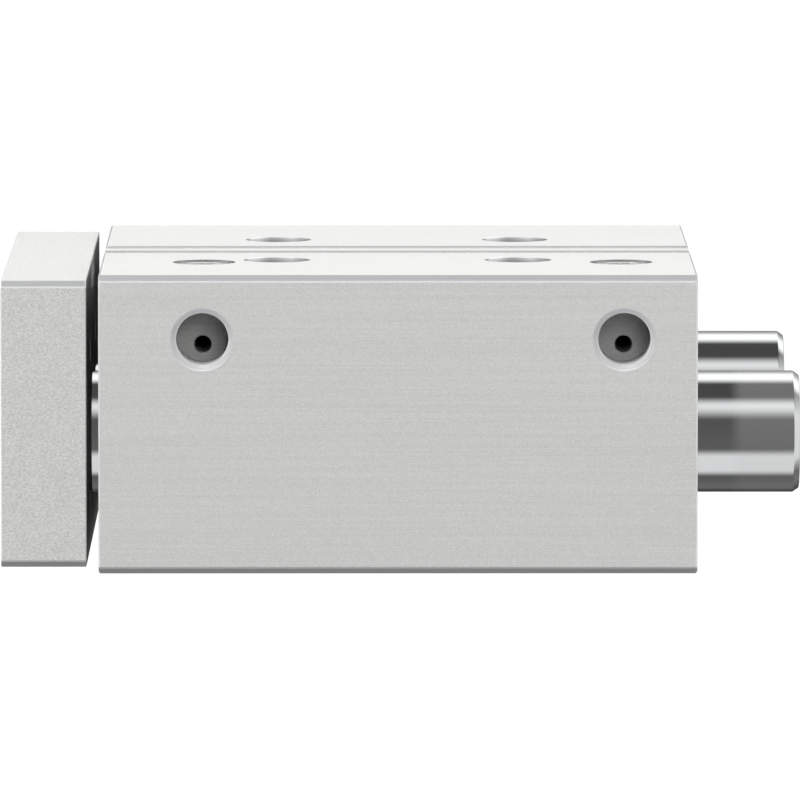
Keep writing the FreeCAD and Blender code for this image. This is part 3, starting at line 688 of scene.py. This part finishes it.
housingLook = {
    "longBreak": 0.17,
    "endBreak": 0.07,
    "mouthBreak": 0.07,
    "slotBreak": 0.20,
    "passageBreak": 0.14,
    "chamfer": 1.3,
    "endZone": 0.3,
    "upSlant": 0.3,  # how far up a face looks that counts as a chamfer in the slots and at the ends
    "mouthDepth": 0.6,
    "slotReach": 9.0,
    "slotDepth": 6.0,
    "spotFaces": ((-20, -22), (-20, 22), (20, -22), (20, 22)),
    "spotFaceRadius": 5.6,
    "spotFaceDepth": 6.6,
}

# the zones of the housing, in the order of its material slots
housingFinish = {
    "drawn": drawnAluminium,
    "milled": milledAluminium,
    "chamfer": cutChamfer,
    "bored": boredAluminium,
    "spotFaced": spotFaced,
    "topMouth": brightCut,
    "sideMouth": portCut,
    "facedGapShade": facedGapShadeAluminium,
}
housingZones = list(housingFinish)

# the ports: a turned mouth with its edges rounded, then the wall, threaded in the side ports
portLook = {
    "mouth": (
        (0.03, 5.32), (0.0, 5.26), (0.03, 5.19), (0.075, 5.10), (0.49, 4.37), (0.55, 4.30), (0.66, 4.285),
    ),
    # the rounded rings of the mouth, marked for the edge wear, which paints thin highlights on them
    "roundRings": (1, 2, 4, 5),
    "thread": {"core": 4.285, "root": 4.86, "pitch": 0.907, "turns": 7},
    "depth": 9.0,
    "steps": 96,
    "reach": 5.25,
    "places": (-32, 37),
    "sideHeight": 38.5,
    "topPlace": -27,
}

# the mounting holes, threaded from below
footThread = {
    "core": 3.4, "root": 4.03, "pitch": 1.25, "turns": 16, "length": 42.5, "mouths": (4.1, 3.5), "steps": 48,
}


def inSlots(point, top, look):
    return abs(point.y) < look["slotReach"] * mm and top - point.z < look["slotDepth"] * mm


def dressHousing(look, ports, thread):
    low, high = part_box("housing")
    bm = copyOfNode("housing")
    inwards, downwards, upwards = Vector((0, 1, 0)), Vector((0, 0, -1)), Vector((0, 0, 1))
    sidePorts = [Vector((x * mm, low.y, ports["sideHeight"] * mm)) for x in ports["places"]]
    topPorts = [Vector((x * mm, ports["topPlace"] * mm, high.z)) for x in ports["places"]]
    feet = [Vector((x * mm, y * mm, low.z)) for x, y in look["spotFaces"]]

    def onSide(point):
        return min(point.y - low.y, high.y - point.y) < touching

    def onLip(point):
        return high.z - point.z < touching and inSlots(point, high.z, look)

    def atEnd(point):
        return min(point.x - low.x, high.x - point.x) < touching

    def onPlane(height):
        return lambda a, b: max(abs(a.z - height), abs(b.z - height)) < touching and not runsAlong(a, b)

    def onPortFloor(point):
        return abs(point.y - low.y - ports["depth"] * mm) < touching

    for mouth in sidePorts:
        clearHole(bm, mouth, inwards, ports["depth"], ports["reach"])
    for mouth in topPorts:
        clearHole(bm, mouth, downwards, ports["depth"], ports["reach"])
    for mouth in feet:
        openTapped(bm, mouth, upwards, thread)
    breakEdges(bm, sharpEdges(bm, lambda a, b: runsAlong(a, b) and onSide(a)), look["longBreak"])
    lips = sharpEdges(bm, lambda a, b: runsAlong(a, b) and onLip(a))
    breakEdges(bm, lips, look["slotBreak"], wornAndHighlighted=False)
    breakEdges(bm, sharpEdges(bm, lambda a, b: atEnd(a) and atEnd(b)), look["endBreak"])
    for height in (low.z, high.z):
        breakEdges(bm, sharpEdges(bm, onPlane(height)), look["mouthBreak"])
    breakEdges(bm, sharpEdges(bm, lambda a, b: onPortFloor(a) and onPortFloor(b)), look["passageBreak"])
    for face in bm.faces:
        face.material_index = housingZones.index(housingZone(face, low, high, look, ports))
    for mouth in sidePorts:
        turnPort(bm, mouth, inwards, ports, "sideMouth", threaded=True)
    for mouth in topPorts:
        turnPort(bm, mouth, downwards, ports, "topMouth", threaded=False)
    for mouth in feet:
        turnTapped(bm, mouth, upwards, thread, housingZones.index("bored"))
    finishPiece(bm, "housing", housingFinish.values())


def turnPort(bm, mouth, inwards, look, mouthZone, threaded):
    # the mouth takes its own finish, the wall that of a bore
    mark = bm.loops.layers.float["edge"]
    points = list(look["mouth"])
    if threaded:
        points += threadRings(points[-1][0], look["thread"])
    points.append((look["depth"], look["thread"]["core"]))
    ringMiddles = [((a[0] + b[0]) / 2, (a[1] + b[1]) / 2) for a, b in zip(look["mouth"], look["mouth"][1:])]
    for face in turnHole(bm, mouth, inwards, points, look["steps"]):
        depth, outwards = placeInHole(face.calc_center_median() / mm, mouth / mm, inwards)
        if depth > look["mouth"][-1][0]:
            face.material_index = housingZones.index("bored")
            continue
        face.material_index = housingZones.index(mouthZone)
        away = [math.dist(middle, (depth, outwards.length)) for middle in ringMiddles]
        # the rounded rings take the edge wear, which paints thin highlights on them
        for loop in face.loops:
            loop[mark] = 1.0 if away.index(min(away)) in look["roundRings"] else 0.0


def housingZone(face, low, high, look, ports):
    # the floors of the counterbores are milled, as the rear end is
    middle, normal = face.calc_center_median(), face.normal
    depth = high.z - middle.z
    toEnd = min(middle.x - low.x, high.x - middle.x)
    aside = min(middle.y - low.y, high.y - middle.y)
    above = min(middle.z - low.z, depth)
    # the rear end is milled; the front end, across a narrow gap from the plate, takes the faced finish
    # darkened as painted shade
    if toEnd < touching and abs(normal.x) > facing:
        return "milled" if normal.x > 0 else "facedGapShade"
    if max(aside, above) < look["chamfer"] * mm and min(abs(normal.y), abs(normal.z)) > slanting:
        return "chamfer"
    if min(aside, above) < touching:
        return "drawn"
    if inSlots(middle, high.z, look):
        return "chamfer" if min(abs(normal.y), normal.z) > look["upSlant"] else "drawn"
    for x, y in look["spotFaces"]:
        if math.hypot(middle.x - x * mm, middle.y - y * mm) < look["spotFaceRadius"] * mm:
            if depth > look["spotFaceDepth"] * mm:
                return "bored"
            return "milled" if normal.z > facing else "spotFaced"
    if toEnd < look["endZone"] * mm:
        return "chamfer" if normal.z > look["upSlant"] else "drawn"
    if abs(aside - ports["depth"] * mm) < touching:
        return "drawn"
    return "chamfer" if min(aside, above) < look["mouthDepth"] * mm else "bored"


dressHousing(housingLook, portLook, footThread)
print("housing dressed")


# yoke plate: blasted, with cut chamfers and a faced back darkened as painted shade for the gap to the
# housing

plateLook = {
    "outlineBreak": 0.16, "chamfer": 1.2, "recess": 2.1, "loadAcross": (-20, 20), "loadUp": (-13, 13),
}

# the zones of the plate, in the order of its material slots
plateFinish = {
    "blasted": blastedAluminium,
    "chamfer": cutChamfer,
    "facedGapShade": facedGapShadeAluminium,
    "bored": boredAluminium,
}
plateZones = list(plateFinish)

loadThread = {
    "core": 2.5, "root": 3.04, "pitch": 1.0, "turns": 10, "length": 11.9, "mouths": (3.1, 3.1), "steps": 48,
}


def plateZone(face, low, high, look):
    middle, normal = face.calc_center_median(), face.normal
    # the back, across a narrow gap from the housing, takes the faced finish darkened as painted shade
    if normal.x > facing and high.x - middle.x < touching:
        return "facedGapShade"
    outer = min(middle.y - low.y, high.y - middle.y, middle.z - low.z, high.z - middle.z)
    slanted = min(abs(normal.y), abs(normal.z)) > slanting and abs(normal.x) < slanting
    return "chamfer" if slanted and outer < look["chamfer"] * mm else "blasted"


def dressPlate(look, thread):
    low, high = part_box("yoke_plate")
    bm = copyOfNode("yoke_plate")
    rearwards = Vector((1, 0, 0))
    floor = low.x + look["recess"] * mm
    loadHoles = []
    for y in look["loadAcross"]:
        loadHoles += [Vector((floor, y * mm, axisHeight + z * mm)) for z in look["loadUp"]]

    def onFlats(a, b):
        level = max(abs(a.z - b.z), min(a.z - low.z, high.z - a.z)) < touching
        return level and runsAlong(a, b)

    for mouth in loadHoles:
        openTapped(bm, mouth, rearwards, thread)
    breakEdges(bm, sharpEdges(bm, lambda a, b: not onFlats(a, b)), look["outlineBreak"])
    for face in bm.faces:
        face.material_index = plateZones.index(plateZone(face, low, high, look))
    for mouth in loadHoles:
        turnTapped(bm, mouth, rearwards, thread, plateZones.index("bored"))
    finishPiece(bm, "yoke_plate", plateFinish.values())


dressPlate(plateLook, loadThread)
print("yoke plate dressed")


# rods: ground, hard-chromed bars with turned ends

rodLook = {
    "steps": 128, "rearChamfer": 0.7, "rearChamferLength": 1.0, "edgeBreak": 0.08, "sharpAngle": 20,
    "endFinish": {
        "pitch": 0.14, "level": 0.55, "span": 0.12, "metallic": 0.6, "rough": 0.30, "roughSpan": 0.06,
        "bump": 0.3, "relief": 0.006,
    },
}


def dressGuideRod(node, finish, look):
    low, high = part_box(node)
    radius = (high.z - low.z) / 2
    y = (low.y + high.y) / 2
    cut, run = look["rearChamfer"] * mm, look["rearChamferLength"] * mm
    points = [(low.x, 0), (low.x, radius - cut), (low.x + cut, radius)]
    points += [(high.x - run, radius), (high.x, radius - cut), (high.x, 0)]
    bm = spunProfile(points, y, look["steps"])
    breakEdges(bm, [edge for edge in bm.edges if isSharp(edge, look["sharpAngle"])], look["edgeBreak"])
    for face in bm.faces:
        face.material_index = int(abs(face.normal.x) > facing)
    turnedEnd = grainedFinish(f"turnedEnd_{node}", dict(look["endFinish"], axis=(0, y, axisHeight)))
    finishPiece(bm, node, [finish, turnedEnd])


for side, finish in (("near", stretchLitChrome), ("far", chrome)):
    dressGuideRod(f"guide_rod_{side}", finish, rodLook)
print("guide rods dressed")


# screwed plugs in the top ports, each with a hexagon socket

plugLook = {"edgeBreak": 0.08, "socketReach": 3.0, "faceDepth": 0.1}


def dressPlug(node, look):
    low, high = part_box(node)
    axis = (low + high) / 2
    bm = copyOfNode(node)
    breakEdges(bm, [edge for edge in bm.edges if isSharp(edge)], look["edgeBreak"])
    for face in bm.faces:
        middle = face.calc_center_median()
        inSocket = math.hypot(middle.x - axis.x, middle.y - axis.y) < look["socketReach"] * mm
        face.material_index = int(inSocket and high.z - middle.z > look["faceDepth"] * mm)
    finishPiece(bm, node, [platedSteel, socketSteel])


for end in ("front", "rear"):
    dressPlug(f"port_plug_{end}", plugLook)
print("plugs dressed")


# pieces that keep the shape of their node, with broken edges

keptShapes = {
    "piston_rod": {"material": chrome, "slot": "piston_rod_chrome", "edgeBreak": 0.08},
    "front_retaining_ring": {"material": springSteel, "slot": "spring_steel", "edgeBreak": 0.12},
    "rear_retaining_ring": {"material": springSteel, "slot": "spring_steel", "edgeBreak": 0.12},
    "bearing_cap": {"material": turnedAluminium, "slot": "cap_aluminium", "edgeBreak": 0.1},
    "end_cap": {"material": turnedAluminium, "slot": "cap_aluminium", "edgeBreak": 0.1},
    "guide_rod_screw_near": {"material": bareSteel, "slot": "screw_steel", "edgeBreak": 0.1},
    "guide_rod_screw_far": {"material": bareSteel, "slot": "screw_steel", "edgeBreak": 0.1},
    "piston_rod_screw": {"material": bareSteel, "slot": "screw_steel", "edgeBreak": 0.1},
}
wiperLook = {"material": blackRubber, "slot": "wiper_rubber", "edgeBreak": 0.1}
for end in ("front", "rear"):
    for side in ("near", "far"):
        keptShapes[f"guide_wiper_{end}_{side}"] = wiperLook


def dressKeptShape(node, look):
    bm = copyOfNode(node)
    breakEdges(bm, [edge for edge in bm.edges if isSharp(edge)], look["edgeBreak"])
    finishPiece(bm, node, [look["material"]])


for node, look in keptShapes.items():
    dressKeptShape(node, look)
print("kept shapes dressed:", len(keptShapes))


# pieces inside the cylinder keep their own meshes; the finish goes by a part of the node's name

insideFinish = {
    "rod_bush": bronze, "guide_bush": bronze, "o_ring": blackRubber, "seal": blackRubber,
    "bumper": castPolyurethane, "half": turnedAluminium, "magnet": ferrite, "guide_ring": paleAcetal,
    "piston_screw": bareSteel,
}
inside = 0
for name, node in frame["nodes"].items():
    if not node.hide_render:
        finish = next(material for part, material in insideFinish.items() if part in name)
        node.material_slots[0].material = finish
        inside += 1
print("inner pieces finished:", inside)
